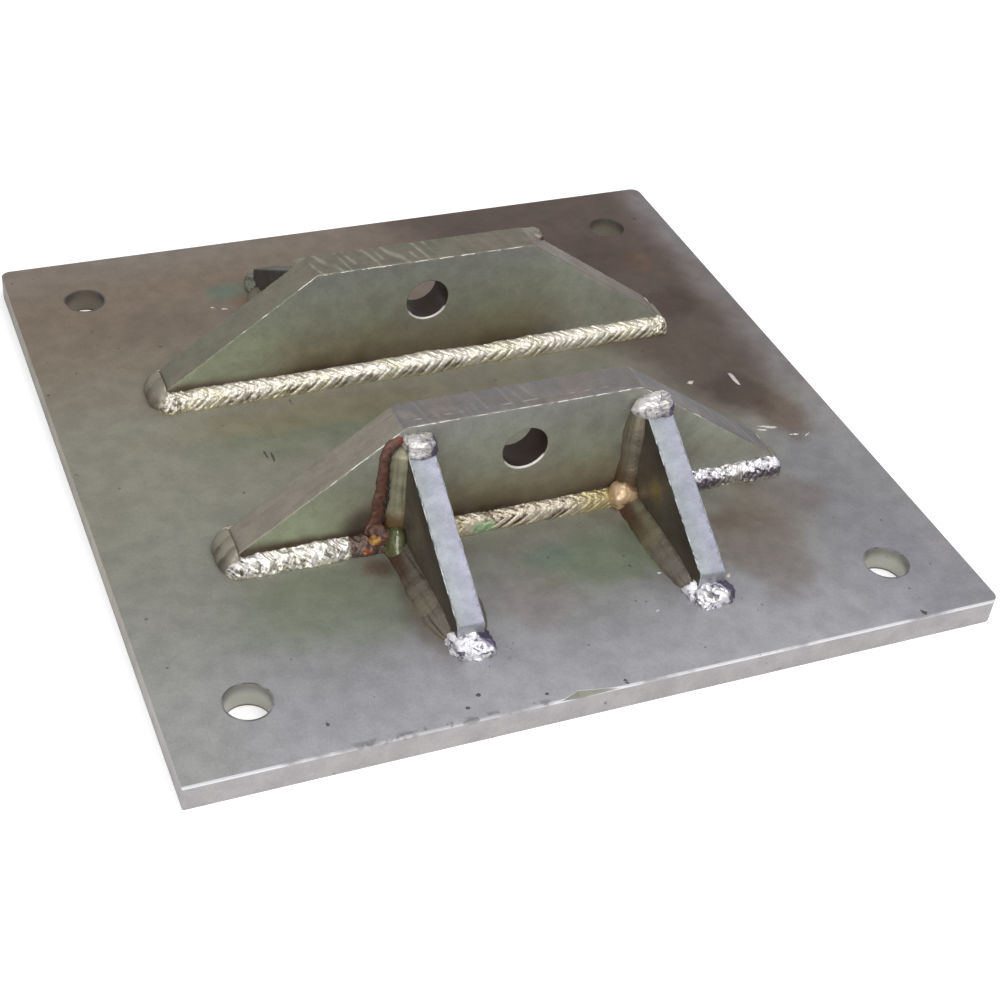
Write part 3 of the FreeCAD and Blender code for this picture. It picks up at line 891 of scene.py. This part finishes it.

# The weld metals: the colours of the crests (painted highlight), the valleys (painted shade), a hot stretch
# (also the painted shade on lumps' shaded sides) and the toe, and how they differ otherwise
WELD_METALS = {
    "silver": ((224, 217, 205), (112, 100, 80), (92, 76, 70), (206, 198, 152),
               {"roughness": (0.28, 0.46), "metallic": 0.55, "shadow": 0.16}),
    "foil": ((234, 230, 224), (92, 86, 74), (98, 82, 74), (198, 192, 160),
             {"metallic": 0.55, "shadow": 0.10, "stains": SLAG}),
    "temper": ((194, 183, 164), (70, 55, 46), (150, 172, 132), (186, 172, 126),
               {"roughness": (0.28, 0.44), "shadow": 0.10, "toned": 0.1}),
    "lilac": ((250, 246, 252), (86, 78, 84), (78, 68, 78), (206, 202, 180),
              {"roughness": (0.24, 0.4), "metallic": 0.55, "shadow": 0.50}),
    "bright": ((252, 250, 255), (100, 94, 108), (84, 76, 100), (238, 234, 218), BRIGHT),
    "block": ((218, 214, 212), (122, 116, 120), (88, 80, 102), (238, 234, 218), BRIGHT),
    "chip": ((236, 234, 230), (206, 202, 196), (190, 180, 170), (228, 220, 208),
             {"roughness": (0.4, 0.5), "metallic": 0.2}),
    "speck": ((108, 103, 99), (84, 79, 76), (80, 70, 66), (98, 92, 88),
              {"roughness": (0.45, 0.6), "metallic": 0.3}),
    "dust": ((172, 168, 162), (132, 126, 118), (110, 98, 88), (160, 150, 130),
             {"roughness": (0.45, 0.6), "metallic": 0.2}),
    "straw": ((172, 160, 126), (110, 98, 72), (120, 104, 72), (160, 150, 96),
              {"roughness": (0.28, 0.42), "metallic": 0.55}),
    "brown": ((120, 112, 101), (72, 64, 56), (92, 70, 56), (158, 152, 112), DULL),
    "mossy": ((134, 138, 122), (92, 94, 82), (88, 84, 72), (150, 126, 96), DULL),
    "grey": ((148, 143, 127), (104, 98, 86), (84, 74, 66), (114, 106, 94), DULL),
    "olive": ((148, 145, 120), (110, 106, 84), (120, 92, 62), (140, 130, 106), DULL),
    "tube": ((128, 121, 106), (92, 86, 74), (100, 80, 60), (120, 108, 84), DULL),
    "green": ((101, 105, 68), (66, 67, 43), (60, 48, 32), (134, 132, 96),
              {"roughness": (0.12, 0.2), "metallic": 0.35, "coat": 0.9, "bump_depth": 0.01 * MM,
               "toned": 0.6}),
    "peach": ((212, 182, 146), (150, 119, 88), (120, 88, 60), (176, 152, 108),
              {"roughness": (0.26, 0.4), "metallic": 0.45, "coat": 0.15, "bump_depth": 0.05 * MM}),
    "burnt": ((101, 69, 56), (68, 47, 40), (122, 56, 46), (80, 56, 46),
              {"roughness": (0.4, 0.55), "metallic": 0.25, "bump_depth": 0.06 * MM, "stains": SLAG}),
    "seam": ((46, 34, 30), (32, 25, 23), (38, 27, 24), (42, 32, 28),
             {"roughness": (0.5, 0.7), "metallic": 0.1}),
}


# The object

def base_plate(finish):
    """The plate: the CAD solid's own shape, its doubled points merged and its arrises softened."""
    mesh = frame["nodes"]["base_plate"].data.copy()
    shape = bmesh.new()
    shape.from_mesh(mesh)
    bmesh.ops.remove_doubles(shape, verts=shape.verts, dist=0.001 * MM)
    shape.to_mesh(mesh)
    shape.free()
    piece = shown("plate_cut", mesh)
    bevel = piece.modifiers.new("soft_arris", "BEVEL")
    bevel.width, bevel.segments, bevel.limit_method, bevel.angle_limit = 0.55 * MM, 2, "ANGLE", 0.6
    bevel.use_clamp_overlap = True
    dress(piece, finish, "plate_steel", "base_plate")


def object_pieces():
    """Every piece of the anchor plate, from the plate up."""
    metals = {name: weld_metal("weld_" + name, *colours, **manner)
              for name, (*colours, manner) in WELD_METALS.items()}
    base_plate(plate_steel())
    lug("front", lug_steel("lug_front", (122, 119, 117), (144, 138, 125), (100, 100, 104)), 11)
    lug("rear", lug_steel("lug_rear", (112, 111, 97), (122, 121, 104), (116, 106, 97)), 12)
    ground = gusset_steel("gusset_ground", (133, 138, 139), (146, 145, 161), (160, 160, 164), 1.0,
                          (0.34, 0.48))
    scaled = gusset_steel("gusset_scaled", (88, 89, 78), (84, 86, 76), (84, 84, 74), 0.0, (0.6, 0.75))
    corners = [(side, hand) for side in ("front", "rear") for hand in ("left", "right")]
    for number, (side, hand) in enumerate(corners):
        gusset(side, hand, ground if side == "front" else scaled, 20 + number)
    lug_welds(metals)
    for side, hand in corners:
        gusset_runs(side, hand, metals)
        gusset_pools(side, hand, metals)
        gusset_ends(side, hand, metals)
    burnt_corner(metals)
    spatter(metals)


def lug_welds(metals):
    """The long runs beside the lugs and the short ones round their ends."""
    silver, tip = metals["silver"], 5.2 * MM
    bead("weld_rear_lug_inside", RIGHT, UP, FRONT, silver, "weld_metal", 31, lead=-1.6, depth=0.26 * MM,
         crumple=0.12 * MM, stroke=0.035 * MM, ends=(4 * MM, 4.5 * MM), tips=(tip, tip), grow=(1.06, 1.12),
         contrast=(0.3, 0.9), foil=0.36 * MM, foil_size=2.4 * MM, foil_zone=crinkled_ends)
    plain = {"depth": 0.28 * MM, "crumple": 0.08 * MM}
    bead("weld_front_lug_inside", RIGHT, UP, REAR, silver, "weld_metal", 32, ends=(4 * MM, 4 * MM),
         tips=(tip, tip), **plain)
    stem = "weld_front_lug_outside_"
    bead(stem + "left", RIGHT, UP, FRONT, metals["foil"], "weld_metal", 33, lead=-0.8, depth=0.10 * MM,
         contrast=(0.1, 0.3), foil=0.34 * MM, foil_size=2.3 * MM, ends=(5 * MM, 1 * MM), tips=(tip, 0),
         grow=(1.06, 1.12), burn=burnt_end)
    bead(stem + "middle", RIGHT, UP, FRONT, metals["temper"], "weld_metal", 34, lead=-1.9, depth=0.32 * MM,
         ends=(1 * MM, 1 * MM), grow=(0.93, 0.97), contrast=(0.5, 1.0), crumple=0.12 * MM, foil=0.16 * MM,
         foil_size=2.6 * MM, foil_zone=uneven, burn=green_patch, warm=straw_ends)
    bead(stem + "right", RIGHT, UP, FRONT, metals["lilac"], "weld_metal", 35, lead=-1.0, depth=0.12 * MM,
         contrast=(0.1, 0.4), foil=0.38 * MM, foil_size=2.6 * MM, ends=(1 * MM, 4.5 * MM), tips=(0, tip),
         grow=(1.02, 1.08))
    for seed, part, ends, tips in ((36, "left", (4, 1), (tip, 0)), (37, "middle", (1, 1), (0, 0)),
                                   (38, "right", (1, 4), (0, tip))):
        bead("weld_rear_lug_outside_" + part, RIGHT, UP, REAR, silver, "weld_metal", seed,
             ends=(ends[0] * MM, ends[1] * MM), tips=tips, **plain)
    end_runs = (("left", LEFT, (1.5, 1.15), -2.5 * MM), ("right", RIGHT, (0.95, 0.9), -5.0 * MM))
    for seed, side in ((44, "front"), (45, "rear")):
        for hand, out, grow, end in end_runs:
            bead("weld_" + side + "_lug_end_" + hand, REAR, UP, out, metals["grey"], "weld_metal", seed,
                 pitch=7 * MM, depth=0.05 * MM, grit=0.015 * MM, lead=0.3, stroke=0.01 * MM, grow=grow,
                 fullness=1.0, ends=(end, end), tips=(tip, tip))


def crinkled_ends(x, low):
    """Foil over the first and the last stretch of the rear lug's run, and more faintly over
    its left part."""
    both_ends = np.maximum(ease(x, -96 * MM, -103 * MM), ease(x, 99 * MM, 104 * MM))
    return np.maximum(both_ends, 0.45 * ease(x, -30 * MM, -62 * MM))


def uneven(x, low):
    """Foil here and there, more on the upper side."""
    return (0.5 + 0.5 * waves(np.stack((x, 0 * x, 0 * x), -1), 9 * MM, 61)) * ease(low, 1.0, 0.3)


def burnt_end(x, low):
    """Burnt over the last stretch before the left front gusset."""
    return ease(x, -67.5 * MM, -64.5 * MM)


def green_patch(x, low):
    """A green patch low on the run where it leaves the left front gusset."""
    return 0.8 * ease(x, -21.5 * MM, -18.5 * MM) * ease(x, -8.5 * MM, -12.5 * MM) * ease(low, 0.40, 0.62)


def straw_ends(x, low):
    """Straw colour at both ends of the run."""
    return np.maximum(ease(x, -21.5 * MM, -26.5 * MM), ease(x, 19 * MM, 29 * MM))


def reddened(y, low):
    """A red-brown stretch near the pool, on the side away from the gusset."""
    return 0.8 * ease(np.abs(y - LUG_MIDDLE), 100 * MM, 66 * MM) * ease(low, 0.15, 0.6)


def browned_foot(z, low):
    """Brown at the foot of an upright run."""
    return 0.85 * ease(z, 36 * MM, 16 * MM)


def gusset_stem(side, hand):
    """The start of the names of one gusset's weld nodes, the way away from the lug, and a seed."""
    seed = 50 + 20 * (side == "rear") + 10 * (hand == "right")
    return "weld_gusset_" + side + "_" + hand + "_", FRONT if side == "front" else REAR, seed


def gusset_runs(side, hand, metals):
    """The smooth runs along a gusset's foot and up beside it. The uprights draw in towards the cap."""
    stem, away, seed = gusset_stem(side, hand)
    foot_ends, foot_tips = (-1 * MM, 1 * MM), (16 * MM, 0)
    if side == "rear":
        foot_ends, foot_tips = foot_ends[::-1], foot_tips[::-1]
    pale, nose = (metals["olive"], 3.5 * MM) if hand == "left" else (metals["tube"], 12 * MM)
    smooth = {"depth": 0.01 * MM, "grit": 0.02 * MM, "lead": 0.3, "stroke": 0.0, "contrast": (0.04, 0.08)}
    for number, (flank, out) in enumerate((("left", LEFT), ("right", RIGHT))):
        bead(stem + "foot_" + flank, REAR, UP, out, metals["brown"], "weld_tinted", seed + number,
             pitch=9 * MM, ends=foot_ends, tips=foot_tips, point=0.8, grow=(1.05, 1.22), fullness=1.45,
             crumple=0.12 * MM, streak=0.13, burn=reddened, **smooth)
        bead(stem + "upright_" + flank, UP, away, out, pale, "weld_tinted", seed + 2 + number,
             pitch=11 * MM, ends=(1 * MM, 2.6 * MM if flank == "left" else 0), tips=(0, nose),
             grow=(1.0, 1.0), streak=0.16, burn=browned_foot, **smooth)


# The pools that the photograph shows, by gusset and side, and the one that the others follow: metal,
# the centre's way out of the corner, the radii, and the sag. A green drop is at the left, a wide peach
# pool at the right.
POOLS = {"front_left_left": ("green", (2.7, 5.6, 3.6), (3.9, 6.4, 6.9), 1.0),
         "front_right_left": ("peach", (2.8, 3.6, 3.4), (6.8, 5.6, 6.2), 0.0)}
PLAIN_POOL = ("straw", (2.2, 2.4, 3.0), (4.6, 4.4, 5.2), 0.0)


def gusset_pools(side, hand, metals):
    """The pools of weld metal where the three runs of a corner meet."""
    stem, away, seed = gusset_stem(side, hand)
    for number, (flank, out) in enumerate((("left", LEFT), ("right", RIGHT))):
        node = stem + "corner_" + flank
        metal, shift, radii, sag = POOLS.get(side + "_" + hand + "_" + flank, PLAIN_POOL)
        low, high = (np.array(corner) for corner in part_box(node))
        corner = np.where(out + away + UP < 0, high, low)
        centre = corner + (out * shift[0] + away * shift[1] + UP * shift[2]) * MM
        blob(node + "_pool", centre, np.array(radii) * MM, metals[metal], "weld_tinted", (node,),
             seed + 4 + number, crumple=0.06 * MM, lumps=0.03, grit=0.01 * MM,
             foil=0.16 * MM if metal == "peach" else 0.0, foil_size=7 * MM, sag=sag)


def gusset_ends(side, hand, metals):
    """The lump of weld metal round a gusset's toe and the block on its top."""
    stem, away, seed = gusset_stem(side, hand)
    front = side == "front"
    lump = metals["bright"] if front else metals["mossy" if hand == "left" else "brown"]
    low, high = (np.array(corner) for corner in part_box(stem + "toe"))
    centre = np.array(((low[0] + high[0]) / 2, high[1] if front else low[1], low[2]))
    radii = np.array(((high[0] - low[0]) / 2 - 0.2 * MM, high[1] - low[1] - 0.5 * MM,
                      1.3 * (high[2] - low[2])))
    # Painted shade on the toe lump's side turned away from the light
    blob(stem + "toe_lump", centre, radii, lump, "weld_bright", (stem + "toe",), seed + 8, square=2.8,
         foil=0.55 * MM if front else 0.2 * MM, foil_size=4.0 * MM, steps=(96, 140),
         shade_way=np.array((0.88, -0.05, 0.47)))
    low, high = (np.array(corner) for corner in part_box(stem + "cap"))
    drop = {"front_left": 0.2, "front_right": 1.0}.get(side + "_" + hand, 1.6) * MM
    centre = (low + high) / 2 - away * 0.7 * MM - UP * drop
    radii = (high - low) / 2 + np.array((0.2, 1.4, 0.2)) * MM
    # Painted shade on the cap's right side, turned away from the light
    blob(stem + "cap_lump", centre, radii, metals["block" if front else "grey"], "weld_bright",
         (stem + "cap",), seed + 9, square=4.5, foil=0.34 * MM, foil_size=7.5 * MM, lumps=0.03,
         steps=(96, 140), shade_way=np.array((0.95, -0.3, -0.1)),
         beak=np.array((-4.6, 0, -0.2)) * MM if front and hand == "right" else None)


# The burnt ridge and the dark seam beside the left front gusset's upright run, in millimetres from that
# run's foot or top: x from its left side, z, and whether z counts from the top
RIDGE = ((5.4, 4.6, 1), (2.2, 4.2, 1), (-0.8, 1.5, 1), (-1.4, -12, 1),
         (-2.0, 10, 0), (-3.0, 1, 0), (-7.0, -2.6, 0))
SEAM = ((3.6, 2.8, 1), (0.8, 2.2, 1), (-0.1, -2, 1), (0.1, -14, 1), (-0.3, 10, 0), (-0.6, 2, 0))


def burnt_corner(metals):
    """The burnt ridge that arches out of the cap, the dark seam inside it, and the burnt mass
    at its foot."""
    low, high = (np.array(corner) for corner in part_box("weld_gusset_front_left_upright_left"))
    ridge, seam = (np.array([(low[0] + x * MM, high[1], (high if from_top else low)[2] + z * MM)
                             for x, z, from_top in marks]) for marks in (RIDGE, SEAM))
    ridge[-1, 1] -= 0.8 * MM
    up = FRONT.astype(float)
    strip("weld_burnt_ridge", ridge, (3.6 * MM, 6.4 * MM), 1.4 * MM, up, metals["burnt"], "weld_tinted", 90)
    strip("weld_burnt_seam", seam, (0.9 * MM, 1.1 * MM), 2.0 * MM, up, metals["seam"], "weld_tinted", 92,
          ragged=(2 * MM, 0.30 * MM))
    blob("weld_burnt_shoulder", np.array((-55.0, -60.4, 15.2)) * MM, np.array((4.6, 2.8, 4.6)) * MM,
         metals["burnt"], "weld_tinted", (), 95, foil=0.30 * MM, lumps=0.18)


# Marks on the top of the plate, in millimetres: x, y and height above it, the three radii, and the
# turn about z
CHIPS = (
    ((120.8, -2.2, 0), (5.0, 1.0, 0.4), -1.48), ((117.9, -35.2, 0), (4.4, 0.8, 0.4), -0.40),
    ((115.0, -36.5, 0), (2.2, 0.5, 0.3), -0.50), ((101.7, -0.1, 0), (1.5, 1.0, 0.5), 0.20),
    ((126.5, -42.6, 0), (2.2, 0.35, 0.2), -0.20), ((131.5, -44.0, 0), (1.6, 0.35, 0.2), 0.50),
    ((49.6, -64.4, 32.6), (0.7, 0.8, 0.7), 0.0), ((-70.7, 101.8, 0), (1.3, 0.35, 0.2), -0.3),
    ((-66.1, 99.8, 0), (1.6, 0.35, 0.2), -0.3), ((36.9, -102.0, 0), (0.9, 0.5, 0.3), 0.0),
    ((60.3, -110.5, 0), (1.3, 0.8, 0.4), 0.8), ((27.5, -119.6, 0), (0.9, 0.4, 0.2), 0.3))
SPECKS = (
    ((-99.1, -137.7, 0), (0.6, 0.9, 0.12), 0.3), ((-53.4, -143.9, 0), (0.8, 0.7, 0.12), 0.0),
    ((-26.0, -145.6, 0), (0.7, 0.6, 0.12), 0.0), ((-48.0, -139.4, 0), (0.9, 0.9, 0.12), 0.5),
    ((119.1, -147.6, 0), (0.8, 1.6, 0.12), 0.3), ((1.8, -148.2, 0), (0.7, 1.3, 0.12), 0.4),
    ((-78.0, 0.9, 0), (0.5, 2.9, 0.10), 0.08), ((-76.0, -1.2, 0), (0.5, 2.8, 0.10), -0.05),
    ((135.0, 86.4, 0), (0.8, 0.8, 0.12), 0.0), ((136.4, 124.4, 0), (1.2, 0.8, 0.12), 0.0))
# Fields of spatter, in millimetres: x and y of the middle, the number of drops, and their spread
SPATTER_FIELDS = ((-30, -122, 16, 5), (59, -125, 7, 4), (4, -108, 8, 12), (72, -100, 6, 10))


def spatter(metals):
    """Drops of weld metal on the plate near the toes, bright chips at the right and dark
    specks in front."""
    rng = np.random.default_rng(7)
    drops = []
    for x, y, count, spread in SPATTER_FIELDS:
        away, sizes = rng.normal(0, spread, (count, 2)), rng.uniform(0.16, 0.45, count)
        drops += [((x + dx, y + dy, 0), (size, size, 0.7 * size), 0.0) for (dx, dy), size in zip(away, sizes)]
    kinds = (("spatter", drops, "dust"), ("chips", CHIPS, "chip"), ("specks", SPECKS, "speck"))
    for name, marks, metal in kinds:
        places, radii, turns = (np.array(values, float) for values in zip(*marks))
        places[:, 2] += PLATE_TOP / MM
        droplets("weld_" + name, places * MM, radii * MM, turns, metals[metal], "weld_bright")


# Floor, light and camera

def floor():
    """A white floor under the plate. Where it is seen directly or in a reflection it glows a little, so
    that it reads as white and still keeps the object's shadow."""
    bpy.ops.mesh.primitive_plane_add(size=6.0)
    ground = bpy.context.object
    ground.name = "floor"
    material = bpy.data.materials.new("floor_white")
    tree = Tree(material)
    shader = tree.nodes["Principled BSDF"].inputs
    shader["Base Color"].default_value = (0.80, 0.80, 0.80, 1)
    shader["Roughness"].default_value = 0.9
    shader["Emission Color"].default_value = (1, 1, 1, 1)
    camera_ray, glossy_ray, clear_ray = (
        tree.node("LightPath", "Is " + kind + " Ray") for kind in ("Camera", "Glossy", "Transmission"))
    seen = tree.calc("MAXIMUM", tree.calc("MAXIMUM", camera_ray, glossy_ray), clear_ray)
    tree.put(shader["Emission Strength"], seen * 0.42)
    ground.data.materials.append(material)


def world():
    """A soft studio: bright above, dimmer towards the horizon."""
    sky = bpy.data.worlds.new("studio")
    bpy.context.scene.world = sky
    tree = Tree(sky)
    height = tree.node("SeparateXYZ", 2, {0: tree.node("TexCoord", "Generated")})
    background = tree.nodes["Background"].inputs
    glow = tree.ramp(height, (0.0, (0.46, 0.46, 0.47, 1)), (0.9, (0.62, 0.63, 0.65, 1)))
    tree.put(background["Color"], glow)
    background["Strength"].default_value = 1.0


LAMP_SIZE = 0.9


def lamp(name, place, aim, power):
    """A square soft box at place that shines at aim."""
    data = bpy.data.lights.new(name, "AREA")
    data.size, data.energy = LAMP_SIZE, power
    turn = (Vector(aim) - Vector(place)).to_track_quat("-Z", "Y")
    shown(name, data).matrix_world = Matrix.Translation(place) @ turn.to_matrix().to_4x4()


CAMERA_AIM = Vector((-0.02523, -0.04188, 0.010))
CAMERA_DISTANCE = 0.66336
CAMERA_AZIMUTH, CAMERA_ELEVATION, CAMERA_ROLL = np.radians((-24.34, 39.32, 5.39))
CAMERA_LENS, CAMERA_SENSOR, CAMERA_SHIFT = 64.65, 36.0, 0.0631


def camera():
    """The photograph's view: from the front left and above, with the camera rolled a little."""
    flat, down = np.cos(CAMERA_ELEVATION), -np.sin(CAMERA_ELEVATION)
    forward = Vector((-np.sin(CAMERA_AZIMUTH) * flat, np.cos(CAMERA_AZIMUTH) * flat, down))
    level_right = forward.cross(Vector((0, 0, 1))).normalized()
    level_up = level_right.cross(forward)
    right = level_right * np.cos(CAMERA_ROLL) + level_up * np.sin(CAMERA_ROLL)
    data = bpy.data.cameras.new("camera")
    data.lens, data.sensor_width, data.shift_x = CAMERA_LENS, CAMERA_SENSOR, CAMERA_SHIFT
    data.clip_start, data.clip_end = 0.01, 20.0
    view = shown("camera", data)
    turn = Matrix((right, right.cross(forward), -forward)).transposed()
    view.matrix_world = Matrix.Translation(CAMERA_AIM - forward * CAMERA_DISTANCE) @ turn.to_4x4()
    bpy.context.scene.camera = view


object_pieces()
floor()
world()
lamp("key", (0.25, -0.35, 1.2), (0, 0, 0), 7.5)
lamp("front_fill", (-0.6, -1.1, 0.45), (0, 0, 0.02), 6.5)
camera()
bpy.context.scene.view_settings.view_transform = "Standard"
